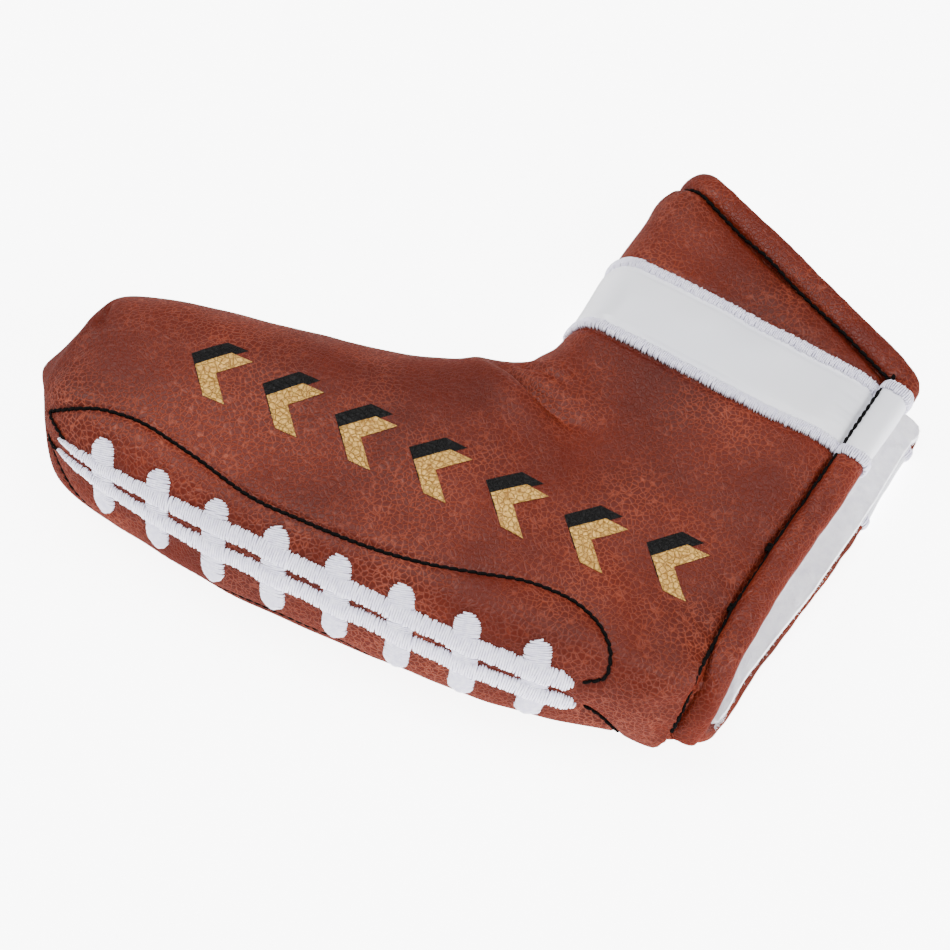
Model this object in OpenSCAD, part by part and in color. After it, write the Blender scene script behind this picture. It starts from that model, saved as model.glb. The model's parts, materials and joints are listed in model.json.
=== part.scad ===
// Putter head cover for a blade putter, lying on its back panel with the front panel up.
// The foot holds the putter head, and the collar wraps the shaft. The collar and the heel
// side are one open mouth. Front and back are each leather, foam and fleece, and they meet
// at the crown seam, round the toe and along the sole. The front of the mouth is a flap
// that folds up about a slanted line from the heel corner to the top of the collar.
//
// Places on the cover are given by a station v, which runs from the toe (0) past the heel
// corner (7) and up the collar to its top edge (14), a fraction w across it from the crown
// or neck side (0) to the sole or mouth side (1), and a depth below the leather's face.

/* [Outline] */
// Length of the sole, from the heel corner to the toe seam
sole_length = 170; // [160:1:180]
// Height of the collar's neck corner above the heel corner
cover_height = 139; // [130:1:148]
// Thickness of the foot over the putter head
foot_thickness = 37; // [35:1:40]

/* [Layers] */
// Thickness of the outer leather
leather_t = 1.2; // [1:0.1:1.4]
// Thickness of the foam under the leather
foam_t = 1.8; // [1.4:0.1:2]
// Thickness of the fleece lining
lining_t = 1.6; // [1.2:0.1:1.8]
// Width of the rolled hems
hem_w = 6.5; // [6:0.1:7]
// Thickness of the white stripe on the collar
stripe_t = 0.7; // [0.5:0.1:0.8]
// Width of the satin-stitched borders of the stripe
border_w = 2.6; // [2:0.1:3]

/* [Laces and stitching] */
// Number of crossbars in the embroidered laces
cross_count = 8; // [8]
// Distance from one crossbar to the next
cross_pitch = 15.7; // [15:0.1:16]
// Width of a crossbar
cross_w = 6.2; // [5:0.1:7]
// Height of the embroidery above the leather
lace_t = 1; // [0.8:0.1:1.2]
// Width of the stitched football outline
stitch_w = 0.9; // [0.7:0.1:1.2]

/* [Motif] */
// Number of gold chevrons along the front
chevron_count = 7; // [7]
// Size of a chevron across the row
chevron_size = 13; // [10:0.5:14]
// Thickness of the foil film
foil_t = 0.15; // [0.1:0.05:0.2]

/* [Closure] */
// Length of each bar magnet in the mouth hems
magnet_l = 16; // [14:1:18]
// Width of each bar magnet
magnet_w = 4; // [3:0.5:4.5]
// Thickness of each bar magnet
magnet_t = 1.6; // [1.2:0.1:1.8]

/* [Hidden] */
CROSS_NODES = [for (i = [1:cross_count]) str("lace_cross_", i)];

// Scale of the outline against the sizes it was drawn at
sx = sole_length / 170;
sy = cover_height / 139;
sz = foot_thickness / 37;

// Each station's crown-side corner, sole-side corner, front height, seam height, rounding at
// the crown side, rounding at the sole side, 1 where the sole is closed, front height at the
// mouth edge, and back height
STATIONS = [
    [-171,  31, -169,   5, 27, 17,  7,  7, 1, 27, 0],
    [-167,  40, -159,  -6, 34, 16, 15, 15, 1, 34, 0],
    [-150,  47, -142, -11, 36, 15, 20, 17, 1, 36, 0],
    [-125,  52, -112, -14, 37, 15, 24, 18, 1, 37, 0],
    [-104,  56,  -80, -14, 37, 15, 26, 19, 1, 37, 0],
    [ -91,  60,  -48, -11, 36, 15, 25, 18, 1, 36, 0],
    [ -82,  64,  -22,  -5, 33, 14, 21, 15, 1, 33, 0],
    [ -76,  68,    0,   1, 30, 12, 17, 10, 1, 29, 0.2],
    [ -74,  72,    2,  26, 29, 12, 14, 10, 0, 27, 0.8],
    [ -72,  76,    5,  51, 28, 12, 12, 10, 0, 28, 1.4],
    [ -71,  82,    8,  75, 28, 12, 11, 10, 0, 28, 1.7],
    [ -70,  93,    9,  87, 27, 12, 11, 10, 0, 26, 1.7],
    [ -70, 105,   10,  97, 26, 12, 10, 10, 0, 25, 1.7],
    [ -68, 122,   12, 101, 26, 12, 10, 10, 0, 24, 1.4],
    [ -63, 139,   12, 104, 25, 12,  9, 10, 0, 23, 1.2]];
LAST = len(STATIONS) - 1;
HEEL = 7;
STRIPE_LOW = 10;
STRIPE_HIGH = 12;

// Corner of the whole cover's box that puts the origin under its middle
shift = [80.32, -61.27, 0];

// Depths of the layers, with a hair of air between them
air = 0.1;
foam_d = leather_t + air;
lining_d = foam_d + foam_t + air;
total_d = lining_d + lining_t;
hem_over = 0.7;
hem_gap = 0.3;
// Stations that a layer's toe end steps in for each millimetre of depth
toe_step = 1 / 12;
// Stations over which the toe rounds off
toe_round = 0.9;
// How far the middle of the toe seam stands out past a straight line
toe_bow = 5;
// How far the back stands out past the front along the mouth
back_reach = 3.5;
// How far down the neck and mouth sides the top hem reaches, in millimetres of the top panel
neck_rise = 36;
mouth_rise = 6.4;

// The flap's fold line in plan, and the gap left for it
fold_start = [0, 1];
fold_end = [-52, 134];
fold_gap = 0.5;

// Laces: the angle of their middle line up the rounding of the sole, degrees for each
// millimetre round it, and where they run
lace_angle = 27;
arc_deg = 2.9;
first_cross_x = -144.5;
lace_start_x = -158;
lace_end_x = -26;
bar_gap = 1;
// Middle of the crossbars, in millimetres round the sole from that line, by place along it,
// and middle and width of the bars
LACE_MIDDLE = [[-158, 3], [-95, 3], [-26, -1]];
BAR_MIDDLE = [[-158, 2.6], [-136, 3.2], [-102, 4.6], [-71, 2.8], [-41, 0.4], [-26, -1.2]];
BAR_W = [[-158, 1.8], [-140, 3.2], [-120, 4.1], [-60, 4.6], [-26, 5.2]];
// Crossbars lean a little, towards the toe at one end of the laces and the heel at the other
CROSS_LEAN = [[-145, -0.13], [-95, 0], [-30, 0.18]];
// Half the length of a crossbar
CROSS_REACH = [[-145, 9.3], [-95, 10.3], [-30, 12.2]];
// Half of the football outline: places along the sole, and distances from the laces' middle
OUTLINE = [
    [-164, 4.3], [-160, 8], [-154, 12.5], [-147, 16.5], [-137, 18.5], [-122, 17], [-106, 14],
    [-92, 14], [-75, 15.5], [-60, 18.5], [-45, 23.5], [-32, 28], [-22, 29], [-16.5, 26.5],
    [-15.5, 21], [-16.5, 14], [-19, 7.5], [-24, 4]];

function lerp(a, b, t) = a + (b - a) * t;
function clamp(t) = min(max(t, 0), 1);
function cross2(p, q) = p[0] * q[1] - p[1] * q[0];
function flat(lists) = [for (l = lists) each l];
// Quarter of a circle's rise, from 0 at the edge to 1
function bulge(q) = sqrt(1 - pow(1 - clamp(q), 2));

// Stations between the drawn ones, on a smooth curve through them
function row(i) = i < 0 ? 2 * STATIONS[0] - STATIONS[1]
    : i > LAST ? 2 * STATIONS[LAST] - STATIONS[LAST - 1] : STATIONS[i];
function blend4(a, b, c, d, t) =
    (2 * b + t * (c - a) + t * t * (2 * a - 5 * b + 4 * c - d) + t * t * t * (3 * b - a - 3 * c + d)) / 2;
function station(v) = let (k = min(max(floor(v), 0), LAST - 1))
    blend4(row(k - 1), row(k), row(k + 1), row(k + 2), v - k);
function crown_xy(q) = [q[0] * sx, q[1] * sy];
function sole_xy(q) = [q[2] * sx, q[3] * sy];
function closed(q) = pow(clamp(q[8]), 2);
function span(v) = let (q = station(v)) norm(sole_xy(q) - crown_xy(q));
// Width left at a depth, once the layers have closed in from the folded sides
function span_in(v, d) = let (q = station(v)) span(v) - d - closed(q) * d;
// Fraction across at a distance from the crown side
function w_at(v, s, d) = (s - d) / span_in(v, d);
function toe_rise(v, d) = bulge((v - d * toe_step) / (toe_round - d * toe_step));
function bow(v, w) = [-toe_bow * 4 * w * (1 - w) * pow(1 - clamp(v), 2), 0];
function reach(v, front) = front ? 0
    : back_reach * clamp((v - HEEL) / 2) * (1 - 0.6 * clamp((v - STRIPE_HIGH) / 2));

// A point on the front or back of the cover
function skin(v, w, d, front) =
    let (q = station(v), a = crown_xy(q), dir = (sole_xy(q) - a) / span(v), c = closed(q),
         wide = span_in(v, d) + reach(v, front), s = w * wide,
         rise = bulge(s / (q[6] - d)) * lerp(1, bulge((wide - s) / (q[7] - d)), c) * toe_rise(v, d),
         top = sz * lerp(q[4], q[9], (1 - c) * w * w) - d,
         low = max(q[10], 0) + d, mid = q[5] * sz,
         xy = a + dir * (d + s) + bow(v, w))
    [xy[0], xy[1], front ? lerp(mid, top, rise) : lerp(mid, low, rise)] + shift;

// A point on the rounding of the sole, by angle up from the seam line
function sole_point(v, angle, d) =
    let (q = station(v), a = crown_xy(q), b = sole_xy(q), dir = (b - a) / norm(b - a),
         r = q[7] - d, mid = q[5] * sz, high = q[4] * sz - d - mid, deep = mid - q[10] - d,
         round_angle = min(angle, 90), beyond = (angle - round_angle) / arc_deg,
         in = d + r * (1 - cos(round_angle)) + beyond,
         xy = b - dir * in + bow(v, 1 - in / norm(b - a)))
    [xy[0], xy[1], mid + (angle > 0 ? high : deep) * toe_rise(v, d) * sin(round_angle)] + shift;
// A point on the front or back by its place in plan: the station whose line passes through it
// is found by halving
function station_at(p, lo, hi, n) = let (v = (lo + hi) / 2, q = station(v), a = crown_xy(q))
    n == 0 ? v
    : cross2(p - a, sole_xy(q) - a) < 0 ? station_at(p, v, hi, n - 1) : station_at(p, lo, v, n - 1);
function skin_at(p, d, front) =
    let (v = station_at(p, 0, LAST, 16), q = station(v), a = crown_xy(q), dir = (sole_xy(q) - a) / span(v))
    skin(v, w_at(v, (p - a) * dir, d), d, front);
// Station at a place along the sole
SOLE_X = [for (i = [0:HEEL]) [STATIONS[i][2], i]];
function v_of(x) = lookup(x, SOLE_X);

// Edges of the layers across the cover, as fractions
whole = function(v, d) 1;
start = function(v, d) 0;
function fold_s(v) = let (a = crown_xy(station(v)), dir = (sole_xy(station(v)) - a) / span(v))
    cross2(fold_start - a, fold_end - fold_start) / cross2(dir, fold_end - fold_start);
fold_fixed = function(v, d) v <= HEEL ? 1 : min(w_at(v, fold_s(v) - fold_gap, d), 1);
fold_moving = function(v, d) w_at(v, fold_s(v) + fold_gap, d);
function mouth_in(v) = min((v - HEEL) * 4, 1) * (hem_w + hem_gap);
mouth = function(v, d) v <= HEEL ? 1 : w_at(v, span(v) - mouth_in(v), d);
mouth_back = function(v, d) v <= HEEL ? 1
    : (span(v) + reach(v, false) - mouth_in(v) - d) / (span_in(v, d) + reach(v, false));
// The top panel's rows close up under the collar hem, which has one width all along
function hem_top(w) = LAST - 2 * (hem_w + hem_gap) / lerp(neck_rise, mouth_rise + hem_gap, w);
function under_hem(v, w) = v <= STRIPE_HIGH ? v
    : lerp(STRIPE_HIGH, max(hem_top(w), STRIPE_HIGH), (v - STRIPE_HIGH) / (LAST - STRIPE_HIGH));

function steps(a, b, n) = [for (i = [0:n]) lerp(a, b, i / n)];
// Rows of a layer: rounded spacing puts more points where the sides curve
function layer_row(v, from, to, n, d, front) =
    let (a = from(under_hem(v, from(v, d)), d), b = to(under_hem(v, to(v, d)), d))
    [for (j = [0:n]) let (w = lerp(a, b, (1 - cos(180 * j / n)) / 2)) skin(under_hem(v, w), w, d, front)];
function layer(vs, from, to, n, d, front) =
    [for (v = vs) layer_row(max(v, d * toe_step), from, to, n, d, front)];

// A closed solid between two matching grids of points
module slab(outer, inner) {
    m = len(outer);
    n = len(outer[0]);
    edge = concat([for (j = [0:n - 2]) j], [for (i = [0:m - 2]) i * n + n - 1],
                  [for (j = [n - 1:-1:1]) (m - 1) * n + j], [for (i = [m - 1:-1:1]) i * n]);
    polyhedron(concat(flat(outer), flat(inner)), concat(
        [for (i = [0:m - 2], j = [0:n - 2]) each let (a = i * n + j) [[a, a + 1, a + n + 1], [a, a + n + 1, a + n]]],
        [for (i = [0:m - 2], j = [0:n - 2]) each let (a = m * n + i * n + j)
            [[a, a + n + 1, a + 1], [a, a + n, a + n + 1]]],
        [for (k = [0:len(edge) - 1]) each let (a = edge[k], b = edge[(k + 1) % len(edge)])
            [[a, b + m * n, b], [a, a + m * n, b + m * n]]]));
}

// One layer of the front or back between two depths
module cloth(vs, from, to, n, d0, d1, front) {
    top = layer(vs, from, to, n, d0, front);
    under = layer(vs, from, to, n, d1, front);
    if (front)
        slab(under, top);
    else
        slab(top, under);
}

FRONT_ROWS = concat([0, 0.1, 0.3, 0.6], steps(1, 6, 8), [6.5, 7, 7.3], steps(7.5, 12, 9), [13, 14]);
FLAP_ROWS = concat(steps(7.3, 12, 9), [13, 14]);
module front_layer(d, t) cloth(FRONT_ROWS, start, fold_fixed, 12, d, d + t, true);
module back_layer(d, t) cloth(FRONT_ROWS, start, mouth_back, 12, d, d + t, false);
module flap_layer(d, t) cloth(FLAP_ROWS, fold_moving, mouth, 5, d, d + t, true);

module front_panel() color("sienna") front_layer(0, leather_t);
module front_foam() color("khaki") front_layer(foam_d, foam_t);
module front_lining() color("ghostwhite") front_layer(lining_d, lining_t);
module back_panel() color("sienna") back_layer(0, leather_t);
module back_foam() color("khaki") back_layer(foam_d, foam_t);
module back_lining() color("ghostwhite") back_layer(lining_d, lining_t);
module flap_leather() color("sienna") flap_layer(0, leather_t);
module flap_foam() color("khaki") flap_layer(foam_d, foam_t);
module flap_lining() color("ghostwhite") flap_layer(lining_d, lining_t);

// Stripe and its borders, which lie on the leather
module stripe(from, to, n, front)
    cloth(steps(STRIPE_LOW, STRIPE_HIGH, 4), from, to, n, -air - stripe_t, -air, front);
module stripe_neck() color("white") stripe(start, fold_fixed, 12, true);
module stripe_flap() color("white") stripe(fold_moving, mouth, 5, true);
module stripe_back() color("white") stripe(start, mouth_back, 12, false);

// A border is a low ridge over one edge of the stripe
border_t = 0.8;
function border_d(t) = -2 * air - stripe_t - border_t * (0.4 + 0.6 * sin(180 * t));
module border(v, from, to, n, front) {
    reach = border_w / 2 / 12;
    vs = steps(-1, 1, 4);
    top = [for (t = vs) layer_row(v + t * reach, from, to, n, border_d((t + 1) / 2), front)];
    under = [for (t = vs) layer_row(v + t * reach, from, to, n, -2 * air - stripe_t, front)];
    if (front)
        slab(under, top);
    else
        slab(top, under);
}
module border_lower_neck() color("white") border(STRIPE_LOW, start, fold_fixed, 12, true);
module border_lower_flap() color("white") border(STRIPE_LOW, fold_moving, mouth, 5, true);
module border_lower_back() color("white") border(STRIPE_LOW, start, mouth_back, 12, false);
module border_upper_neck() color("white") border(STRIPE_HIGH - 0.15, start, fold_fixed, 12, true);
module border_upper_flap() color("white") border(STRIPE_HIGH - 0.15, fold_moving, mouth, 5, true);
module border_upper_back() color("white") border(STRIPE_HIGH - 0.15, start, mouth_back, 12, false);

// Hems wrap all the layers, with rounded edges
function hem_depth(t, side) = total_d / 2 + side * (total_d / 2 + hem_over) * (0.55 + 0.45 * sin(180 * t));
HEM_T = [0, 0.2, 0.5, 0.8, 1];
module mouth_hem(v0, v1, n, front) {
    // The hem narrows to nothing at the heel corner
    width = function(v) hem_w * min((v - HEEL) * 4, 1);
    function point(v, t, side) = let (whole = span(v) + reach(v, front), s = whole - width(v) * (1 - t))
        skin(v, s / whole, 0, front) + [0, 0, (front ? -1 : 1) * hem_depth(t, side)];
    top = [for (v = steps(v0, v1, n)) [for (t = HEM_T) point(v, t, -1)]];
    under = [for (v = steps(v0, v1, n)) [for (t = HEM_T) point(v, t, 1)]];
    if (front)
        slab(under, top);
    else
        slab(top, under);
}
module mouth_hem_flap() color("sienna") mouth_hem(7.3, STRIPE_LOW - 0.02, 9, true);
module mouth_hem_back() color("sienna") mouth_hem(7.3, STRIPE_LOW - 0.02, 9, false);
module stripe_hem_flap() color("white") mouth_hem(STRIPE_LOW + 0.02, STRIPE_HIGH - 0.02, 4, true);
module stripe_hem_back() color("white") mouth_hem(STRIPE_LOW + 0.02, STRIPE_HIGH - 0.02, 4, false);

module collar_hem(w0, w1, n, front) {
    function point(w, t, side) = let (v0 = hem_top(w) + 2 * hem_gap / lerp(neck_rise, mouth_rise, w))
        skin(lerp(v0, LAST, t), w, hem_depth(t, side), front);
    ws = [for (j = [0:n]) lerp(w0, w1, w0 == 0 ? 1 - cos(90 * j / n) : j / n)];
    top = [for (t = HEM_T) [for (w = ws) point(w, t, -1)]];
    under = [for (t = HEM_T) [for (w = ws) point(w, t, 1)]];
    if (front)
        slab(under, top);
    else
        slab(top, under);
}
fold_w = fold_s(LAST) / span(LAST);
module collar_hem_neck() color("sienna") collar_hem(0, fold_w - 0.012, 5, true);
module collar_hem_flap() color("sienna") collar_hem(fold_w + 0.012, 1, 10, true);
module collar_hem_back() color("sienna") collar_hem(0, 1, 12, false);

// Embroidered laces, as strips round the sole
function lace_middle(x) = lookup(x, LACE_MIDDLE);
function bar_edge(x, far) = bar_gap / 2 + (far ? lookup(x, BAR_W) : 0);
module lace_bar(side) {
    xs = steps(lace_start_x, lace_end_x, 24);
    rounded = function(x) bulge(min(x - lace_start_x + 0.6, lace_end_x + 0.6 - x) / 4);
    function point(x, t, d) = let (mid = (bar_edge(x, false) + bar_edge(x, true)) / 2,
            half = (bar_edge(x, true) - bar_edge(x, false)) / 2 * rounded(x))
        sole_point(v_of(x), lace_angle + arc_deg * (lookup(x, BAR_MIDDLE) + side * (mid + half * t)), d);
    function grid(d) = [for (x = xs) [for (t = steps(-side, side, 2)) point(x, t, d)]];
    slab(grid(-air), grid(-air - lace_t));
}
module lace_bar_front() color("white") lace_bar(1);
module lace_bar_back() color("white") lace_bar(-1);

// Crossbars lie over the bars, with rounded ends
cross_gap = 0.15;
module lace_cross(i) {
    x0 = first_cross_x + (i - 1) * cross_pitch;
    long = lookup(x0, CROSS_REACH);
    lean = lookup(x0, CROSS_LEAN);
    function half_w(y) = cross_w / 2 * bulge((long - abs(y) + 0.5) / (cross_w / 2));
    ys = concat([-1, -0.9], steps(-0.75, 0.75, 8), [0.9, 1]) * long;
    function grid(d) = [for (y = ys) [for (t = [-1, 0, 1])
        sole_point(v_of(x0 + lean * y + t * half_w(y)), lace_angle + arc_deg * (lace_middle(x0) + y), d)]];
    slab(grid(-2 * air - lace_t - cross_gap - 0.6), grid(-2 * air - lace_t - cross_gap));
}

// Each half of the football outline: a strip round from the toe seam to the end of a lace
// bar, and a short one from the toe seam to the bar's other end
module stitch_strip(points, side) {
    last = len(points) - 1;
    function strip_point(i, off, d) =
        let (p = points[max(i - 1, 0)], q = points[min(i + 1, last)], g = (q - p) / norm(q - p),
             c = points[i] + off * [-g[1], g[0]])
        sole_point(v_of(c[0]), lace_angle + arc_deg * (lace_middle(c[0]) + side * c[1]), d);
    function grid(d) = [for (i = [0:last]) [for (o = [-0.5, 0.5] * side) strip_point(i, o * stitch_w, d)]];
    slab(grid(-2.5 * air), grid(-2.5 * air - 0.4));
}
function outline_row(i) = OUTLINE[min(max(i, 0), len(OUTLINE) - 1)];
function outline_point(t) = let (k = min(floor(t), len(OUTLINE) - 2))
    blend4(outline_row(k - 1), outline_row(k), outline_row(k + 1), outline_row(k + 2), t - k);
module football_stitch(side) {
    stitch_strip([for (t = steps(0, len(OUTLINE) - 1, 3 * (len(OUTLINE) - 1))) outline_point(t)], side);
    stitch_strip([for (t = steps(0.15, 0.75, 4)) lerp(OUTLINE[0], [lace_start_x + 0.5, 2], t)], side);
}
module football_stitch_front() color("black") football_stitch(1);
module football_stitch_back() color("black") football_stitch(-1);

// Gold chevrons in a row along the front, each with a black shadow beside it
chevron_first_x = -132;
chevron_pitch = 18.7;
chevron_y = 23.5;
chevron_lift = 6.5;
chevron_arm = 5.5;
shadow_step = [-2.4, 2.4];
function chevron_place(i) = let (t = i / (chevron_count - 1))
    [chevron_first_x + chevron_pitch * i, chevron_y + chevron_lift * pow(t, 4)];
module chevron(i, offset, d) {
    half = chevron_size / 2;
    place = chevron_place(i) + offset;
    function tip(y) = half * 0.9 * (1 - abs(y) / half);
    function grid(dd) = [for (y = steps(-half, half, 4)) [for (u = [0, chevron_arm])
        skin_at(place + [u - tip(y) - chevron_arm / 2 + half / 2, y], dd, true)]];
    slab(grid(d), grid(d - foil_t));
}
module foil_chevrons() color("gold") for (i = [0:chevron_count - 1]) chevron(i, [0, 0], -0.5);
module foil_shadows() color("black") for (i = [0:chevron_count - 1]) chevron(i, shadow_step, -0.3);

// Bar magnets sewn behind the lining, just inside the mouth hems
magnet_v = 8.6;
module magnet(front) {
    p = skin(magnet_v, w_at(magnet_v, span(magnet_v) - hem_w - 6, 0), 0, front);
    z = front ? p[2] - total_d - 0.5 - magnet_t : p[2] + total_d + 0.5;
    translate([p[0], p[1], z])
        rotate([0, 0, 83])
            translate([-magnet_l / 2, -magnet_w / 2, 0])
                cube([magnet_l, magnet_w, magnet_t]);
}
module magnet_flap() color("silver") magnet(true);
module magnet_back() color("silver") magnet(false);

front_panel();
front_foam();
front_lining();
back_panel();
back_foam();
back_lining();
flap_leather();
flap_foam();
flap_lining();
stripe_neck();
stripe_flap();
stripe_back();
border_lower_neck();
border_lower_flap();
border_lower_back();
border_upper_neck();
border_upper_flap();
border_upper_back();
collar_hem_neck();
collar_hem_flap();
collar_hem_back();
mouth_hem_flap();
mouth_hem_back();
stripe_hem_flap();
stripe_hem_back();
football_stitch_front();
football_stitch_back();
lace_bar_front();
lace_bar_back();
for (i = [1:cross_count])
    color("white") lace_cross(i);
foil_chevrons();
foil_shadows();
magnet_flap();
magnet_back();
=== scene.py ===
"""Looks of the putter head cover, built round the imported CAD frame.

The cover's outer skin is one smooth surface. A place on it is given by a station v, from the
toe (0) past the heel corner (7) to the collar's top edge (14), and a fraction w across it,
from the crown or neck side (0) to the sole or mouth side (1). Lengths here are millimetres
until a mesh is made, where MM turns them into metres.
"""
import json
import math

import bmesh
import bpy
import numpy as np
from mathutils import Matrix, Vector
from mathutils.bvhtree import BVHTree


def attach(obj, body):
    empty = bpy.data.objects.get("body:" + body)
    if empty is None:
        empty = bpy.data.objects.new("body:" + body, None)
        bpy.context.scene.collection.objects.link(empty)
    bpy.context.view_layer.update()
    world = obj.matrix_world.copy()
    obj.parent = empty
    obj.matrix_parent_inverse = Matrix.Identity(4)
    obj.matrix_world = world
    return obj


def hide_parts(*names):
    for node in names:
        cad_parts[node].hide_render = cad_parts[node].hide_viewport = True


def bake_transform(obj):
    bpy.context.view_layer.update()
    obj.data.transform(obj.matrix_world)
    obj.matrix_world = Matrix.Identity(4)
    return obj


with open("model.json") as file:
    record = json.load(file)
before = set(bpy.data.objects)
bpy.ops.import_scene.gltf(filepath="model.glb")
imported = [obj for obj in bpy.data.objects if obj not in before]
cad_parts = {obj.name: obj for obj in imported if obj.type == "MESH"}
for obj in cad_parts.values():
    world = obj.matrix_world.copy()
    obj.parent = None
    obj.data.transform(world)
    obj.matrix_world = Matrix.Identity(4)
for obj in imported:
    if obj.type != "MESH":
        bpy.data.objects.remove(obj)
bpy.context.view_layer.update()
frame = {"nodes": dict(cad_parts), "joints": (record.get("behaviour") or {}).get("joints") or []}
MM = 0.001
RNG = np.random.default_rng(11)

# ---------------------------------------------------------------- the shape, as in the CAD
# Crown-side x y, sole-side x y, front height, seam height, rounding at the crown and sole
# sides, 1 where the sole is closed, front height at the mouth edge, back height
STATIONS = np.array([
    [-171,  31, -169,   5, 27, 17,  7,  7, 1, 27, 0],
    [-167,  40, -159,  -6, 34, 16, 15, 15, 1, 34, 0],
    [-150,  47, -142, -11, 36, 15, 20, 17, 1, 36, 0],
    [-125,  52, -112, -14, 37, 15, 24, 18, 1, 37, 0],
    [-104,  56,  -80, -14, 37, 15, 26, 19, 1, 37, 0],
    [ -91,  60,  -48, -11, 36, 15, 25, 18, 1, 36, 0],
    [ -82,  64,  -22,  -5, 33, 14, 21, 15, 1, 33, 0],
    [ -76,  68,    0,   1, 30, 12, 17, 10, 1, 29, 0.2],
    [ -74,  72,    2,  26, 29, 12, 14, 10, 0, 27, 0.8],
    [ -72,  76,    5,  51, 28, 12, 12, 10, 0, 28, 1.4],
    [ -71,  82,    8,  75, 28, 12, 11, 10, 0, 28, 1.7],
    [ -70,  93,    9,  87, 27, 12, 11, 10, 0, 26, 1.7],
    [ -70, 105,   10,  97, 26, 12, 10, 10, 0, 25, 1.7],
    [ -68, 122,   12, 101, 26, 12, 10, 10, 0, 24, 1.4],
    [ -63, 139,   12, 104, 25, 12,  9, 10, 0, 23, 1.2]], float)
LAST = len(STATIONS) - 1
HEEL, STRIPE_LOW, STRIPE_HIGH = 7.0, 10.0, 12.0
SHIFT = np.array([80.32, -61.27, 0.0])
TOE_ROUND, TOE_BOW, BACK_REACH = 0.9, 5.0, 3.5

# Layers, as in the CAD
LEATHER, FOAM_AT, FOAM, LINING_AT, LINING = 1.2, 1.3, 1.8, 3.2, 1.6
HEM_W = 6.5

# Laces and stitching
LACE_ANGLE, ARC_DEG = 27.0, 2.9
LACE_X = (-158.0, -26.0)
CROSS_X, CROSS_PITCH, CROSS_COUNT, CROSS_W = -144.5, 15.7, 8, 6.2
BAR_GAP = 1.5
# By place along the laces: the middle of the crossbars (millimetres round the sole), the middle
# and width of the bars, and the crossbars' lean and half length
MIDDLE = ([-158, -95, -26], [3, 3, -1])
BAR_MIDDLE = ([-158, -136, -102, -71, -41, -26], [2.6, 3.2, 4.6, 2.8, 0.4, -1.2])
BAR_W = ([-158, -140, -120, -60, -26], [1.8, 3.2, 4.1, 4.6, 5.2])
CROSS_LEAN = ([-145, -95, -30], [-0.13, 0, 0.18])
CROSS_REACH = ([-145, -95, -30], [9.3, 10.3, 12.2])
# Half of the football outline: places along the sole, and distances from the laces' middle
OUTLINE = np.array([
    [-164, 4.3], [-160, 8], [-154, 12.5], [-147, 16.5], [-137, 18.5], [-122, 17], [-106, 14],
    [-92, 14], [-75, 15.5], [-60, 18.5], [-45, 23.5], [-32, 28], [-22, 29], [-16.5, 26.5],
    [-15.5, 21], [-16.5, 14], [-19, 7.5], [-24, 4]])


def bulge(q):
    """A quarter circle's rise, from 0 at the edge to 1."""
    return np.sqrt(np.maximum(0.0, 1 - (1 - np.clip(q, 0, 1)) ** 2))


def smooth(t):
    t = np.clip(t, 0, 1)
    return t * t * (3 - 2 * t)


def lerp(a, b, t):
    return a + (b - a) * t


def unit(a):
    return a / np.maximum(np.linalg.norm(a, axis=-1, keepdims=True), 1e-9)


def pair(a, b):
    """Two sets of numbers, brought to one shape."""
    return np.broadcast_arrays(np.asarray(a, float), np.asarray(b, float))


def eased(count):
    """Fractions from 0 to 1, close together at both ends."""
    return (1 - np.cos(np.linspace(0, math.pi, count))) / 2


def eased_in(count):
    """Fractions from 0 to 1, close together at 0."""
    return 1 - np.cos(np.linspace(0, math.pi / 2, count))


def level(way):
    """Directions in plan, as directions in space."""
    return np.concatenate([way, np.zeros(way.shape[:-1] + (1,))], -1)


def evened(path):
    """A path with each inner point drawn towards its neighbours."""
    return np.vstack([path[:1], (path[:-2] + 2 * path[1:-1] + path[2:]) / 4, path[-1:]])


def length_along(path):
    """Distance along a path to each of its points."""
    return np.concatenate([[0], np.cumsum(np.linalg.norm(np.diff(path, axis=0), axis=1))])


def sample(at, run, values):
    """Points or directions at places along a path, between those given at run."""
    return np.stack([np.interp(at, run, values[:, i]) for i in range(3)], 1)


def curve_through(rows, at):
    """A smooth curve's points, from a row before each place to two rows after it."""
    k = np.clip(np.floor(at).astype(int), 0, len(rows) - 4)
    t = (at - k)[..., None]
    a, b, c, d = rows[k], rows[k + 1], rows[k + 2], rows[k + 3]
    return (2 * b + t * (c - a) + t * t * (2 * a - 5 * b + 4 * c - d)
            + t ** 3 * (3 * b - a - 3 * c + d)) / 2


def station(v):
    """The station values at v, on a smooth curve through the drawn ones."""
    rows = np.vstack([2 * STATIONS[0] - STATIONS[1], STATIONS, 2 * STATIONS[-1] - STATIONS[-2]])
    return curve_through(rows, np.asarray(v, float))


def across(v):
    """Crown-side corner, direction across, and width of the cover at v."""
    q = station(v)
    a, b = q[..., 0:2], q[..., 2:4]
    span = np.linalg.norm(b - a, axis=-1)
    return q, a, (b - a) / span[..., None], span


def bow(v, w):
    """How far the toe stands out past a straight seam."""
    shoulder = 0.55 * np.exp(-((w - 0.62) / 0.2) ** 2)
    out = TOE_BOW * (4 * w * (1 - w) + shoulder) * (1 - np.clip(v, 0, 1)) ** 2
    return np.stack([-out, np.zeros_like(out)], -1)


def reach(v, front):
    """How far the back stands out past the front at the mouth."""
    out = BACK_REACH * np.clip((v - HEEL) / 2, 0, 1)
    return out * (1 - 0.6 * np.clip((v - STRIPE_HIGH) / 2, 0, 1)) * (0 if front else 1)


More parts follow.
